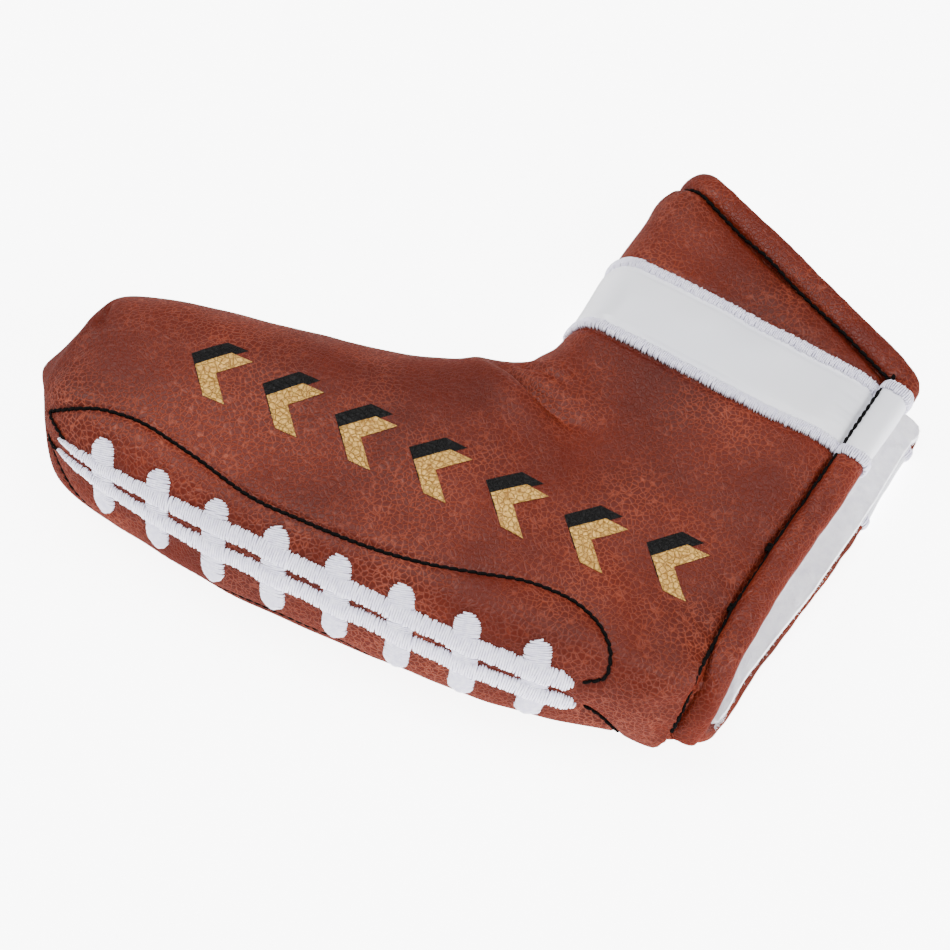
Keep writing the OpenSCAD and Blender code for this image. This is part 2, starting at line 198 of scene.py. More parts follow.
def skin(v, w, front=True, d=0.0):
    """Points on the plain outer surface, or d millimetres inside it."""
    v, w = pair(v, w)
    q, a, way, span = across(v)
    closed = np.clip(q[..., 8], 0, 1) ** 4
    wide = span - d - closed * d + reach(v, front)
    s = w * wide
    rise = bulge(s / (q[..., 6] - d)) * lerp(1, bulge((wide - s) / (q[..., 7] - d)), closed)
    rise = rise * bulge(v / TOE_ROUND)
    top = lerp(q[..., 4], q[..., 9], (1 - closed) * w * w) - d
    low = np.maximum(q[..., 10], 0) + d
    z = q[..., 5] + ((top if front else low) - q[..., 5]) * rise
    xy = a + way * (d + s)[..., None] + bow(v, w)
    return np.concatenate([xy, z[..., None]], -1) + SHIFT


def sole(v, angle, d=0.0):
    """Points on the rounding of the sole, by angle up from the seam line in degrees."""
    v, angle = pair(v, angle)
    q, _, way, span = across(v)
    r = q[..., 7] - d
    turn = np.clip(angle, -90, 90)
    beyond = (np.abs(angle) - np.abs(turn)) / ARC_DEG
    arm = np.where(turn > 0, q[..., 4] - d - q[..., 5], q[..., 5] - np.maximum(q[..., 10], 0) - d)
    inset = d + r * (1 - np.cos(np.radians(turn))) + beyond
    xy = q[..., 2:4] - way * inset[..., None] + bow(v, 1 - inset / span)
    z = q[..., 5] + arm * bulge(v / TOE_ROUND) * np.sin(np.radians(turn))
    return np.concatenate([xy, z[..., None]], -1) + SHIFT


SOLE_V = np.linspace(0, HEEL, 141)
SOLE_X = station(SOLE_V)[:, 2]


def v_of(x):
    """Station at a place along the sole."""
    return np.interp(x, SOLE_X, SOLE_V)


def normals_of(place, a, b, da, db):
    """Outward normals of a surface place(a, b), by small steps."""
    along = place(a + da, b) - place(a - da, b)
    over = place(a, b + db) - place(a, b - db)
    return unit(np.cross(along, over))


def skin_normal(v, w, front):
    v, w = pair(v, w)
    v, w = np.clip(v, 0.02, LAST - 0.02), np.clip(w, 0.003, 0.997)
    n = normals_of(lambda a, b: skin(a, b, front), v, w, 0.02, 0.003)
    return -n if front else n


def sole_normal(v, angle):
    v, angle = pair(v, angle)
    return normals_of(sole, np.clip(v, 0.05, HEEL), angle, 0.04, 1.0)


def station_of(x, y):
    """Station and fraction across of a place in plan, found by halving."""
    p = np.stack(pair(x, y), -1)
    lo, hi = np.zeros(p.shape[:-1]), np.full(p.shape[:-1], float(LAST))
    for _ in range(24):
        v = (lo + hi) / 2
        _, a, way, span = across(v)
        rel = p - a
        past = rel[..., 0] * way[..., 1] - rel[..., 1] * way[..., 0] < 0
        lo, hi = np.where(past, v, lo), np.where(past, hi, v)
    return v, ((p - a) * way).sum(-1) / span


# ---------------------------------------------------------------- lines that shape the leather
# The depth of the roll's middle on the front and the back, the station where it starts to turn
# round the heel, and the mark that stands for the neck's end of the collar's top
HEM_DEPTH = {True: 2.2, False: 1.1}
HEEL_TURN, HEM_END = 8.2, 20.0


def at_heel(v):
    """1 at the heel corner, falling to 0 a little way up the mouth."""
    return 1 - smooth((v - HEEL) / 0.9)


def hem_path(front):
    """Middle of the rolled hem from the neck along the collar's top and down the mouth to the
    heel, with the outward normal and a mark for each point: its station, or more than that of
    the collar's top along it. At the heel the roll stands out and turns from front to back."""
    depth = HEM_DEPTH[front]
    w = eased_in(46)
    w = w[w < 0.955]
    q, _, way, _ = across(np.full(w.shape, float(LAST)))
    edge = skin(LAST, w, front)
    down = unit(edge - skin(LAST - 0.25, w, front))
    high = (q[:, 4] if front else q[:, 10]) - q[:, 5]
    up = np.clip((edge[:, 2] - q[:, 5]) / high, 0, 1)
    out = np.array([0, 0, 1.0 if front else -1.0])
    n = unit(level(-way) * np.sqrt(1 - up ** 2)[:, None] + out * up[:, None])
    collar = edge - down * (HEM_W / 2) - n * depth
    v = np.concatenate([np.linspace(12.9, HEEL_TURN, 60),
                        lerp(HEEL, HEEL_TURN, np.linspace(1, 0, 26)[1:] ** 1.6)])
    q, _, way, _ = across(v)
    edge = skin(v, 1.0, front)
    top = skin(np.full(v.shape, HEEL_TURN), 1.0, front)[:, 2] - q[:, 5]
    up = np.where(v > HEEL_TURN, 1, np.clip((edge[:, 2] - q[:, 5]) / top, 0, 1))
    heel = at_heel(v)
    n2 = unit(np.array([0.12, -1.0, 0.0]) * np.sqrt(1 - up ** 2)[:, None] + out * up[:, None])
    inward = unit(lerp(np.array([1.0, 0.03]), way, smooth(v - HEEL)[:, None]))
    inset = lerp(HEM_W / 2, 2.8, heel)
    mouth = edge - level(inward) * inset[:, None] - n2 * lerp(depth, 1.0, heel)[:, None]
    path = np.vstack([collar, mouth])
    n = np.vstack([n, n2])
    mark = np.concatenate([lerp(HEM_END, LAST, w), v])
    for _ in range(14):
        path, n = evened(path), unit(evened(n))
    return path, n, mark


HEMS = {}
for front in (True, False):
    path, n, mark = hem_path(front)
    t = unit(np.gradient(path, axis=0))
    side = unit(np.cross(n, t))
    # The side points out of the cover
    outwards = 1 if side[60, 0] > 0 else -1
    HEMS[front] = (path, unit(np.cross(t, side)), side * outwards, mark)


def stitch_line(front):
    """Where the hem's stitching runs, on the leather just inside the hem."""
    path, n, side, mark = HEMS[front]
    return path - side * (HEM_W / 2 + 0.2) + n * lerp(HEM_DEPTH[front], 1.0, at_heel(mark))[:, None]


def spline(rows, steps):
    """Points on a smooth curve through rows."""
    rows = np.vstack([rows[:1], rows, rows[-1:]])
    return curve_through(rows, np.linspace(0, len(rows) - 3, steps))


def lace_place(x, arc, side=1):
    """Station and angle on the sole of a place, arc millimetres from the laces' middle."""
    return v_of(x), LACE_ANGLE + ARC_DEG * (np.interp(x, *MIDDLE) + side * arc)


def outline_points(side):
    row = spline(OUTLINE, 120)
    return lace_place(row[:, 0], row[:, 1], side)


def outline_return(side):
    """The stitching from the outline's corner at the toe back to the end of a lace bar."""
    t = np.linspace(0, 1, 8)
    return lace_place(lerp(OUTLINE[0, 0], LACE_X[0] + 1.5, t), lerp(OUTLINE[0, 1], 2.2, t), side)


def nearest(points, line, sides=None):
    """Distance from each point to a polyline and how far along the line that is, or its
    distance to one side of the line where sides are given."""
    best = np.full(len(points), 1e9)
    where = np.zeros(len(points))
    beside = np.zeros(len(points))
    run = 0.0
    for index, (a, b) in enumerate(zip(line[:-1], line[1:])):
        ab = b - a
        size = np.linalg.norm(ab)
        if size < 1e-6:
            continue
        t = np.clip(((points - a) @ ab) / size ** 2, 0, 1)
        gap = np.linalg.norm(points - a - t[:, None] * ab, axis=1)
        closer = gap < best
        best = np.where(closer, gap, best)
        where = np.where(closer, run + t * size, where)
        if sides is not None:
            beside = np.where(closer, (points - a) @ sides[index], beside)
        run += size
    return (best, where) if sides is None else (best, where, beside)


def waves(p, size, seed, count=9):
    """Smooth seeded undulation from -1 to 1 or so, with waves about size millimetres long."""
    rng = np.random.default_rng(seed)
    total = np.zeros(len(p))
    for _ in range(count):
        k = unit(rng.normal(size=3)) * 2 * math.pi / (size * rng.uniform(0.7, 1.5))
        total += np.sin(p @ k + rng.uniform(0, 2 * math.pi))
    return total / math.sqrt(count)


def on_front(x, y):
    return skin(*station_of(x, y), True)


LINES = {
    "outline_front": sole(*outline_points(1)),
    "outline_back": sole(*outline_points(-1)),
    "lace": sole(*lace_place(np.linspace(*LACE_X, 30), 0.0)),
    "crease": on_front([-77.0, -70, -64, -58, -52, -45], [61.0, 58, 55, 53, 53, 55]),
    "crease_small": on_front([-73.0, -66, -60, -55], [64.0, 62.5, 61.5, 62]),
    "dart": on_front([-167.0, -165.5, -164.5], [31.5, 28.5, 25.5]),
    "dart_ridge": on_front([-165.5, -166.5, -166.5], [25.0, 17.0, 8.0]),
}
for front in (True, False):
    for v in (STRIPE_LOW, STRIPE_HIGH - 0.15):
        LINES[f"border_{front}_{v}"] = skin(v, eased(26), front)
SEAM = np.vstack([skin(0.0, np.linspace(1, 0, 12)), skin(np.linspace(0, LAST, 90), 0.0)])


# The hem's groove, carried on round the heel past the seam, from above and from below
HEEL_GROOVE = np.array([-2.8, 0.0])
GROOVE_TAIL = 7.0
GROOVES, GROOVE_LENGTH = {}, {}
for front in (True, False):
    line = stitch_line(front)[::2]
    tail = np.append(HEEL_GROOVE, line[-1, 2] + (-GROOVE_TAIL if front else GROOVE_TAIL)) + SHIFT
    GROOVES[front] = np.vstack([line, tail])
    GROOVE_LENGTH[front] = np.linalg.norm(np.diff(line, axis=0), axis=1).sum()


def well(gap, width):
    return np.exp(-(gap / width) ** 2)


def dent(p):
    """How far the sewn leather stands off the plain surface at points p, along its normal."""
    out = 0.35 * waves(p, 34, 3) + 0.12 * waves(p, 13, 4)
    gap, _ = nearest(p, SEAM)
    out += -1.1 * well(gap, 1.1) - 0.35 * well(gap, 3.5)
    for front in (True, False):
        gap, run, beside = nearest(p, GROOVES[front], HEMS[front][2][::2])
        before_heel = smooth((GROOVE_LENGTH[front] - run) / 5)
        in_line = smooth((GROOVE_LENGTH[front] + 1 - run) / 2)
        past = smooth(beside / 2.2) * (1 - smooth((gap - 9) / 4))
        out += (-1.9 * well(gap, 1.3) * (1 - past) - 0.7 * well(gap, 4.5)) * in_line
        out += 0.5 * well(gap - 7, 4) * before_heel
        out += (-2.6 if front else -1.3) * past
        # Gathers stand square to the stitching and fade out over a centimetre
        fine = np.sin(2 * math.pi * run / 2.3 + 1.6 * waves(p, 9, 6))
        coarse = np.sin(2 * math.pi * run / 6.1 + 1.4 * waves(p, 12, 7))
        out += (0.10 * fine + 0.16 * coarse) * well(gap - 3.2, 3.2)
    for name in ("outline_front", "outline_back"):
        gap, run = nearest(p, LINES[name])
        out += -0.75 * well(gap, 0.9) - 0.3 * well(gap, 3.0)
        out += 0.05 * np.sin(2 * math.pi * run / 2.1) * well(gap - 1.5, 1.2)
    gap, _ = nearest(p, LINES["lace"])
    out += -0.35 * well(gap, 9) + 0.45 * well(gap - 12, 4)
    gap, run = nearest(p, LINES["crease"])
    fade = 1 - smooth(run / 34)
    out += -3.2 * fade * well(gap, 1.5) - 1.0 * fade * well(gap, 5) + 1.4 * fade * well(gap - 6, 4)
    gap, run = nearest(p, LINES["crease_small"])
    out += -1.4 * (1 - smooth(run / 20)) * well(gap, 1.3)
    gap, _ = nearest(p, LINES["dart"])
    out += -1.3 * well(gap, 1.2) - 0.5 * well(gap, 3.5)
    gap, _ = nearest(p, LINES["dart_ridge"])
    out += 0.9 * well(gap, 3.2)
    for name, line in LINES.items():
        if name.startswith("border"):
            gap, _ = nearest(p, line)
            out += -0.55 * well(gap, 2.2) - 0.5 * well(gap - 2.1, 0.5)
    return out


def raised(base, n, h):
    """Points h millimetres off the sewn leather, and their normals."""
    stand = h + dent(base.reshape(-1, 3)).reshape(base.shape[:-1])
    return base + n * stand[..., None], n


def skin_point(v, w, h, front):
    return raised(skin(v, w, front), skin_normal(v, w, front), h)


def sole_point(v, angle):
    return raised(sole(v, angle), sole_normal(v, angle), 0.0)


# ---------------------------------------------------------------- meshes
def mesh_object(name, points, faces, material):
    mesh = bpy.data.meshes.new(name)
    points = (np.asarray(points).reshape(-1, 3) * MM).tolist()
    mesh.from_pydata(points, [], [list(map(int, f)) for f in faces])
    mesh.validate()
    mesh.update()
    mesh.materials.append(material)
    mesh.polygons.foreach_set("use_smooth", [True] * len(mesh.polygons))
    obj = bpy.data.objects.new(name, mesh)
    bpy.context.scene.collection.objects.link(obj)
    return obj


def grid_faces(m, n, base=0, flip=False):
    i, j = np.meshgrid(np.arange(m - 1), np.arange(n - 1), indexing="ij")
    a = (base + i * n + j).ravel()
    quads = np.stack([a, a + 1, a + n + 1, a + n], 1)
    return quads[:, ::-1] if flip else quads


def rim_faces(m, n):
    edge = np.concatenate([np.arange(n - 1), np.arange(m - 1) * n + n - 1,
                           (m - 1) * n + np.arange(n - 1, 0, -1), np.arange(m - 1, 0, -1) * n])
    after = np.roll(edge, -1)
    return np.stack([after, edge, edge + m * n, after + m * n], 1)


def outward(obj):
    """Turns the faces of a closed mesh to face out."""
    bm = bmesh.new()
    bm.from_mesh(obj.data)
    bmesh.ops.recalc_face_normals(bm, faces=bm.faces)
    if bm.calc_volume(signed=True) < 0:
        bmesh.ops.reverse_faces(bm, faces=bm.faces)
    bm.to_mesh(obj.data)
    bm.free()
    return obj


def slab(name, outer, inner, material):
    """A closed sheet between two matching grids."""
    m, n = outer.shape[:2]
    points = np.vstack([outer.reshape(-1, 3), inner.reshape(-1, 3)])
    faces = np.vstack([grid_faces(m, n), grid_faces(m, n, m * n, True), rim_faces(m, n)])
    return outward(mesh_object(name, points, faces, material))


def tube_mesh(name, rings, material):
    """A closed skin over rings of points, shape (count, around, 3)."""
    m, n = rings.shape[:2]
    i, j = np.meshgrid(np.arange(m - 1), np.arange(n), indexing="ij")
    a, b = (i * n + j).ravel(), (i * n + (j + 1) % n).ravel()
    faces = [list(f) for f in np.stack([a, b, b + n, a + n], 1)]
    faces += [list(range(n))[::-1], list(range((m - 1) * n, m * n))]
    return outward(mesh_object(name, rings.reshape(-1, 3), faces, material))


def threads(name, paths, ups, radius, material, around=6, flatten=0.8):
    """Many short threads as one mesh. paths is (count, steps, 3), ups their normals."""
    count, steps = paths.shape[:2]
    t = unit(np.gradient(paths, axis=1))
    side = unit(np.cross(ups, t))
    up = unit(np.cross(t, side))
    turn = np.linspace(0, 2 * math.pi, around, endpoint=False)
    r = np.broadcast_to(radius, (count, steps))[..., None, None]
    rings = paths[:, :, None] + r * (side[:, :, None] * np.cos(turn)[:, None]
                                    + up[:, :, None] * np.sin(turn)[:, None] * flatten)
    i, j = np.meshgrid(np.arange(steps - 1), np.arange(around), indexing="ij")
    a, b = (i * around + j).ravel(), (i * around + (j + 1) % around).ravel()
    quads = np.stack([a, a + around, b + around, b], 1)
    start = (np.arange(count) * steps * around)[:, None, None]
    faces = (quads[None] + start).reshape(-1, 4).tolist()
    caps = np.arange(around)
    for c in range(count):
        faces.append((c * steps * around + caps).tolist())
        faces.append((c * steps * around + (steps - 1) * around + caps[::-1]).tolist())
    return mesh_object(name, rings.reshape(-1, 3), faces, material)


# ---------------------------------------------------------------- materials
def srgb(r, g, b):
    def lin(c):
        c /= 255
        return c / 12.92 if c <= 0.04045 else ((c + 0.055) / 1.055) ** 2.4
    return (lin(r), lin(g), lin(b), 1.0)


class Nodes:
    """A material's node tree, with short calls to add to it."""

    def __init__(self, name):
        self.material = bpy.data.materials.new(name)
        self.material.use_nodes = True
        self.tree = self.material.node_tree
        self.shader = self.tree.nodes["Principled BSDF"]
        self.coords = self.tree.nodes.new("ShaderNodeTexCoord").outputs["Object"]

    def add(self, kind, inputs=None, **settings):
        node = self.tree.nodes.new(kind)
        for key, value in settings.items():
            setattr(node, key, value)
        for key, value in (inputs or {}).items():
            self.put(node.inputs[key], value)
        return node

    def put(self, socket, value):
        if isinstance(value, bpy.types.NodeSocket):
            self.tree.links.new(value, socket)
        else:
            socket.default_value = value

    def noise(self, scale, detail=3.0, roughness=0.5):
        return self.add("ShaderNodeTexNoise",
                        {"Vector": self.coords, "Scale": scale, "Detail": detail,
                         "Roughness": roughness}).outputs["Fac"]

    def ramp(self, fac, stops):
        node = self.add("ShaderNodeValToRGB", {"Fac": fac})
        ramp = node.color_ramp
        while len(ramp.elements) < len(stops):
            ramp.elements.new(0.5)
        for element, (place, colour) in zip(ramp.elements, stops):
            element.position = place
            element.color = colour if len(colour) == 4 else (*colour, 1.0)
        return node.outputs["Color"]

    def mix(self, fac, a, b, blend="MIX"):
        node = self.add("ShaderNodeMix", data_type="RGBA", blend_type=blend)
        self.put(node.inputs[0], fac)
        self.put(node.inputs[6], a)
        self.put(node.inputs[7], b)
        return node.outputs[2]

    def math(self, op, a, b=0.0):
        node = self.add("ShaderNodeMath", operation=op)
        self.put(node.inputs[0], a)
        self.put(node.inputs[1], b)
        return node.outputs[0]

    def spread(self, value, low, high):
        """A value from 0 to 1, brought to between low and high."""
        return self.add("ShaderNodeMapRange",
                        {"Value": value, "To Min": low, "To Max": high}).outputs[0]

    def warped(self, scale, amount):
        """Object coordinates pushed about by noise, so that cells look grown."""
        noise = self.add("ShaderNodeTexNoise", {"Vector": self.coords, "Scale": scale, "Detail": 2.0})
        push = self.add("ShaderNodeVectorMath", {0: noise.outputs["Color"], "Scale": amount},
                        operation="SCALE")
        return self.add("ShaderNodeVectorMath", {0: self.coords, 1: push.outputs[0]}).outputs[0]

    def cells(self, scale, coords):
        return self.add("ShaderNodeTexVoronoi", {"Vector": coords, "Scale": scale},
                        feature="DISTANCE_TO_EDGE").outputs["Distance"]

    def bump(self, height, strength, distance, normal=None):
        inputs = {"Height": height, "Strength": strength, "Distance": distance}
        if normal is not None:
            inputs["Normal"] = normal
        return self.add("ShaderNodeBump", inputs).outputs["Normal"]

    def set(self, **values):
        for key, value in values.items():
            self.put(self.shader.inputs[key.replace("_", " ")], value)
        return self.material


GREY = (0.5, 0.5, 0.5, 1.0)
BLACK, WHITE = (0.0, 0.0, 0.0, 1.0), (1.0, 1.0, 1.0, 1.0)


def pebble(n):
    """Height and crease mask of pebbled leather grain, cells a little over a millimetre across."""
    warped = n.warped(300.0, 0.0013)
    coarse_cells = n.ramp(n.cells(820.0, warped), [(0.0, BLACK), (0.045, GREY), (0.16, WHITE)])
    fine_cells = n.ramp(n.cells(1900.0, warped), [(0.0, BLACK), (0.2, WHITE)])
    height = n.mix(0.25, coarse_cells, fine_cells, "MULTIPLY")
    return height, coarse_cells


def leather_material(name, base, dark, crease, roughness=0.42):
    n = Nodes(name)
    height, cells = pebble(n)
    mottle = n.ramp(n.noise(30.0, 3.0), [(0.3, dark), (0.7, base)])
    # Creases catch light pigment where the leather is stretched, in patches
    stretched = n.ramp(n.noise(38.0, 2.0), [(0.35, (0.1, 0.1, 0.1)), (0.65, (0.85, 0.85, 0.85))])
    line = n.math("MULTIPLY", n.math("SUBTRACT", 1.0, cells), stretched)
    colour = n.mix(line, mottle, crease)
    rough = n.spread(n.noise(300.0), roughness - 0.06, roughness + 0.1)
    return n.set(Base_Color=colour, Roughness=rough, Specular_IOR_Level=0.22,
                 Normal=n.bump(height, 0.6, 0.00022, n.bump(n.noise(900.0, 2.0), 0.1, 0.0001)))


def stripe_material():
    n = Nodes("white_coated_leather")
    colour = n.ramp(n.noise(30.0, 2.0), [(0.3, srgb(219, 220, 228)), (0.7, srgb(229, 229, 234))])
    return n.set(Base_Color=colour, Roughness=0.3, Coat_Weight=0.25, Coat_Roughness=0.25,
                 Normal=n.bump(n.noise(160.0, 3.0), 0.12, 0.0003))


def thread_material(name, light, shade, roughness, sheen, gloss=0.5):
    n = Nodes(name)
    colour = n.ramp(n.noise(900.0, 3.0), [(0.3, shade), (0.7, light)])
    wave = n.add("ShaderNodeTexWave", {"Vector": n.coords, "Scale": 1400.0, "Distortion": 4.0})
    twist = wave.outputs["Fac"]
    return n.set(Base_Color=colour, Roughness=roughness, Sheen_Weight=sheen, Sheen_Roughness=0.4,
                 Specular_IOR_Level=gloss, Normal=n.bump(twist, 0.25, 0.00006))


def fleece_material():
    n = Nodes("white_fleece")
    colour = n.ramp(n.noise(420.0, 5.0), [(0.3, srgb(236, 234, 243)), (0.65, srgb(252, 251, 255))])
    return n.set(Base_Color=colour, Roughness=0.95, Sheen_Weight=0.5, Sheen_Roughness=0.6,
                 Normal=n.bump(n.noise(1300.0, 5.0, roughness=0.75), 0.8, 0.0006))


def foam_material():
    n = Nodes("cream_foam")
    colour = n.ramp(n.cells(1500.0, n.coords), [(0.0, srgb(196, 184, 140)), (0.4, srgb(226, 216, 178))])
    return n.set(Base_Color=colour, Roughness=0.95,
                 Normal=n.bump(n.cells(1500.0, n.coords), 0.6, 0.0003))


def foil_material():
    n = Nodes("gold_foil")
    height, cells = pebble(n)
    worn = n.ramp(n.noise(1100.0, 4.0), [(0.35, srgb(176, 128, 56)), (0.6, srgb(214, 168, 84))])
    colour = n.mix(n.math("MULTIPLY", n.math("SUBTRACT", 1.0, cells), 0.8), worn, srgb(132, 88, 36))
    return n.set(Base_Color=colour, Roughness=0.4, Metallic=0.35, Normal=n.bump(height, 0.9, 0.0003))


def print_material():
    n = Nodes("black_print")
    height, cells = pebble(n)
    colour = n.mix(cells, srgb(20, 19, 19), srgb(6, 6, 6))
    return n.set(Base_Color=colour, Roughness=0.45, Specular_IOR_Level=0.15,
                 Normal=n.bump(height, 0.9, 0.0003))


def metal_material():
    n = Nodes("nickel_plate")
    return n.set(Base_Color=srgb(190, 190, 192), Metallic=1.0,
                 Roughness=n.spread(n.noise(700.0), 0.22, 0.4))


LEATHER_MAT = leather_material("brown_pebbled_leather", srgb(84, 20, 3), srgb(66, 13, 2), srgb(138, 64, 42))
HEM_MAT = leather_material("brown_hem_leather", srgb(90, 22, 4), srgb(70, 14, 3), srgb(132, 58, 36), 0.36)
STRIPE_MAT = stripe_material()
SATIN_MAT = thread_material("white_satin_thread", srgb(236, 234, 246), srgb(210, 206, 228), 0.5, 0.3)
# The underlay is a greyer copy of the white thread: painted shade where it shows between the satin
# stitches.
UNDERLAY_SHADE_MAT = thread_material("underlay_thread_painted_shade", srgb(186, 181, 202), srgb(166, 160, 184), 0.8, 0.0)
BLACK_MAT = thread_material("black_thread", srgb(10, 9, 9), srgb(4, 4, 4), 0.85, 0.0, 0.08)
FLEECE_MAT = fleece_material()
FOAM_MAT = foam_material()
FOIL_MAT = foil_material()
PRINT_MAT = print_material()
METAL_MAT = metal_material()

# ---------------------------------------------------------------- how pieces ride the cover
def side_of(front):
    return "front" if front else "back"


HINGE = frame["joints"][0]
HINGE_AXIS = unit(np.array(HINGE["axis"], float))
FLAP_WAY = unit(np.cross(HINGE_AXIS, [0.0, 0.0, 1.0]))
FLAP_WAY = FLAP_WAY if FLAP_WAY[0] > 0 else -FLAP_WAY


def follow(obj, nodes, moving=False):
    """Rides the cover, or, for a piece that crosses the fold, has its placement baked into its mesh."""
    if moving:
        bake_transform(obj)
    else:
        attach(obj, "cover")
    if nodes:
        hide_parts(*nodes)
    return obj


# ---------------------------------------------------------------- leather, foam and lining
ROWS = 330
COLS = 120
UNDER_ANGLE = 78.0
TOE_STEP = 0.1
# How far each layer stops short of the mouth's edge
LEATHER_INSET, FOAM_INSET = 2.6, 3.4


def rows(count):
    """Stations for a grid's rows: about even along the sole, close together round the toe."""
    toe = eased_in(count // 12)
    body = np.linspace(1, HEEL, count // 2)[1:]
    collar = np.linspace(HEEL, LAST - 0.12, count - len(toe) - len(body) + 1)[1:]
    return np.concatenate([toe, body, collar])


def under_angle(v):
    """How far under the sole the front piece wraps, in degrees."""
    return UNDER_ANGLE * (1 - smooth((v - 6.1) / 0.85))


def edge_w(v, inset, front, start):
    """Fraction across to a line inset from the mouth edge, and 1 along the closed sole."""
    span = across(v)[3] + reach(v, front)
    return 1 - inset * smooth((v - start) / 0.5) / span


def collar_v(w, inset):
    """Station of a line inset from the collar's top edge."""
    return LAST - 2 * inset / lerp(36.0, 6.4, w)


def squeezed(v, w, inset):
    """Rows close up under the collar hem."""
    limit = np.maximum(collar_v(w, inset), STRIPE_HIGH)
    t = np.clip((v - STRIPE_HIGH) / (LAST - STRIPE_HIGH), 0, 1)
    return np.where(v <= STRIPE_HIGH, v, lerp(STRIPE_HIGH, limit, t))


def panel_grid(v, cols, inset, front, start=HEEL, wrap=0.0):
    """Stations and fractions over a panel that stops an inset short of the mouth from start
    on, and short of the sole by the fraction wrap."""
    w = eased(cols)[None] * (edge_w(v, inset, front, start) - wrap)[:, None]
    return squeezed(v[:, None] * np.ones_like(w), w, inset), w


def wool(p, seed):
    """The unevenness of fleece at points p."""
    return waves(p, 3.1, seed, 14) + waves(p, 1.7, seed + 1, 14)


def off_skin(v, w, front, depth, soft=1.0, rough=0.0):
    """A grid of points at a depth under the sewn leather."""
    base = skin(v, w, front)
    flat = base.reshape(-1, 3)
    n = skin_normal(v, w, front)
    n[:, 0] = level(-across(v)[2])[:, 0]
    h = soft * dent(flat)
    if rough:
        h = h + rough * wool(flat, 5)
    inner = skin(v, w, front, depth)
    return inner + n * h.reshape(v.shape)[..., None]


def leather_front():
    """Front leather with its wrap under the sole, as one welded sheet with thickness."""
    v = rows(ROWS)
    top = off_skin(*panel_grid(v, COLS, LEATHER_INSET, True), True, 0.0)
    sole_rows = v[v <= HEEL]
    turn = -np.linspace(0, 1, 30)[None] * under_angle(sole_rows)[:, None]
    wrap, _ = sole_point(sole_rows[:, None] * np.ones_like(turn), turn)
    wrap[:, 0] = top[:len(sole_rows), -1]
    m, n = top.shape[:2]
    points = np.vstack([top.reshape(-1, 3), wrap.reshape(-1, 3)])
    faces = np.vstack([grid_faces(m, n), grid_faces(*wrap.shape[:2], m * n)])
    obj = mesh_object("leather_front", points, faces, LEATHER_MAT)
    weld(obj)
    thicken(obj, LEATHER)
    return obj


def weld(obj):
    bm = bmesh.new()
    bm.from_mesh(obj.data)
    bmesh.ops.remove_doubles(bm, verts=bm.verts, dist=2e-6)
    bmesh.ops.dissolve_degenerate(bm, edges=bm.edges, dist=1e-7)
    bmesh.ops.recalc_face_normals(bm, faces=bm.faces)
    up = sum(f.normal.z * f.calc_area() for f in bm.faces)
    if up < 0:
        bmesh.ops.reverse_faces(bm, faces=bm.faces)
    bm.to_mesh(obj.data)
    bm.free()


def apply_modifiers(obj):
    depsgraph = bpy.context.evaluated_depsgraph_get()
    mesh = bpy.data.meshes.new_from_object(obj.evaluated_get(depsgraph))
    obj.modifiers.clear()
    obj.data = mesh
    return obj


def thicken(obj, thickness):
    """Gives an open sheet its thickness, inwards."""
    solid = obj.modifiers.new("thickness", "SOLIDIFY")
    solid.thickness = thickness * MM
    solid.offset = -1
    return apply_modifiers(obj)


def layer(name, front, inset, depth, thickness, material, res, rough=0.0, soft=1.0):
    """A soft layer under the leather, with its grid a share res of the leather's."""
    # Each layer starts further from the toe's tip than the one outside it
    v = rows(int(ROWS * res))
    v = np.where(v < 1, lerp(TOE_STEP * (depth + thickness), 1, v), v)
    grid = panel_grid(v, int(COLS * res), inset, front, HEEL - 0.5)
    outer = off_skin(*grid, front, depth, soft)
    inner = off_skin(*grid, front, depth + thickness, soft * 0.8, rough)
    return slab(name, outer, inner, material)


def build_panels():
    leather = leather_front()
    follow(leather, ["front_panel", "flap_leather"], moving=True)
    v = rows(ROWS)
    # The back's leather stops where the front's wraps under the sole
    wrap = across(v)[0][:, 7] * (1 - np.cos(np.radians(under_angle(v)))) / across(v)[3]
    grid = panel_grid(v, COLS, LEATHER_INSET, False, wrap=wrap)
    outer, inner = off_skin(*grid, False, 0.0), off_skin(*grid, False, LEATHER)
    back = slab("leather_back", outer, inner, LEATHER_MAT)
    follow(back, ["back_panel"])
    foam_front = layer("foam_front", True, FOAM_INSET, FOAM_AT, FOAM, FOAM_MAT, 0.4)
    follow(foam_front, ["front_foam", "flap_foam"], moving=True)
    foam_back = layer("foam_back", False, FOAM_INSET, FOAM_AT, 0.8, FOAM_MAT, 0.4)
    follow(foam_back, ["back_foam"])
    lining_front = layer("fleece_front", True, 2.0, LINING_AT, LINING, FLEECE_MAT, 0.8, rough=0.13)
    follow(lining_front, ["front_lining", "flap_lining"], moving=True)
    lining_back = layer("fleece_back", False, 0.3, 2.2, 2.4, FLEECE_MAT, 0.8, rough=0.16, soft=0.9)
    follow(lining_back, ["back_lining"])


